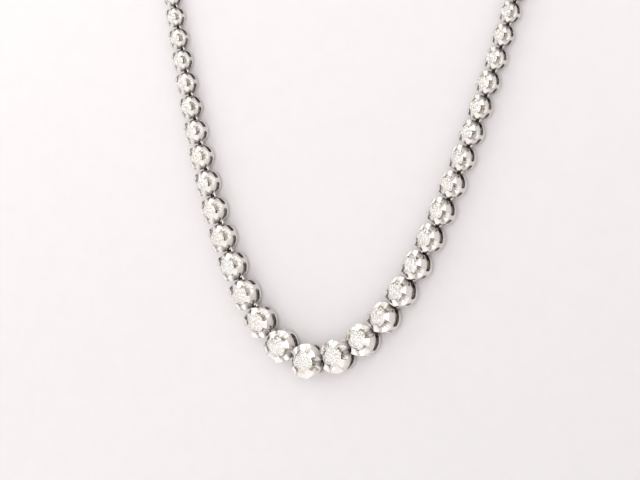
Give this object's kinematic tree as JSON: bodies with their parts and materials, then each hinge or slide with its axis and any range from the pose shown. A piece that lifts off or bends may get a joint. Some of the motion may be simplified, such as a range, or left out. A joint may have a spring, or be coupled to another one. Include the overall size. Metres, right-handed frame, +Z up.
{
  "type": "diamond necklace",
  "caption": "Graduated necklace of round claw-set stones in links hinged in one row, largest at the front centre, closed by a plain bar clasp at the nape.",
  "frame": {"origin": "nape: the middle of the clasp's inner face, which lies on the back of the neck", "axes": "+Z up, the front of the necklace faces -Y, and +X is the right side seen from the front"},
  "size_m": [0.119, 0.0847, 0.1333],
  "materials": {
    "white_gold": "polished",
    "diamond": "faceted, clear"
  },
  "bodies": {
    "root": {"setting_centre": "white_gold", "stone_centre": "diamond", "setting_left_1": "white_gold", "setting_left_2": "white_gold", "setting_left_3": "white_gold", "setting_left_4": "white_gold", "setting_left_5": "white_gold", "setting_left_6": "white_gold", "setting_left_7": "white_gold", "setting_left_8": "white_gold", "setting_left_9": "white_gold", "setting_right_1": "white_gold", "setting_right_2": "white_gold", "setting_right_3": "white_gold", "setting_right_4": "white_gold", "setting_right_5": "white_gold", "setting_right_6": "white_gold", "setting_right_7": "white_gold", "setting_right_8": "white_gold", "setting_right_9": "white_gold", "stone_left_1": "diamond", "stone_left_2": "diamond", "stone_left_3": "diamond", "stone_left_4": "diamond", "stone_left_5": "diamond", "stone_left_6": "diamond", "stone_left_7": "diamond", "stone_left_8": "diamond", "stone_left_9": "diamond", "stone_right_1": "diamond", "stone_right_2": "diamond", "stone_right_3": "diamond", "stone_right_4": "diamond", "stone_right_5": "diamond", "stone_right_6": "diamond", "stone_right_7": "diamond", "stone_right_8": "diamond", "stone_right_9": "diamond", "strand_settings_left": "white_gold", "strand_settings_right": "white_gold", "strand_stones_left": "diamond", "strand_stones_right": "diamond", "clasp": "white_gold"}
  },
  "joints": []
}
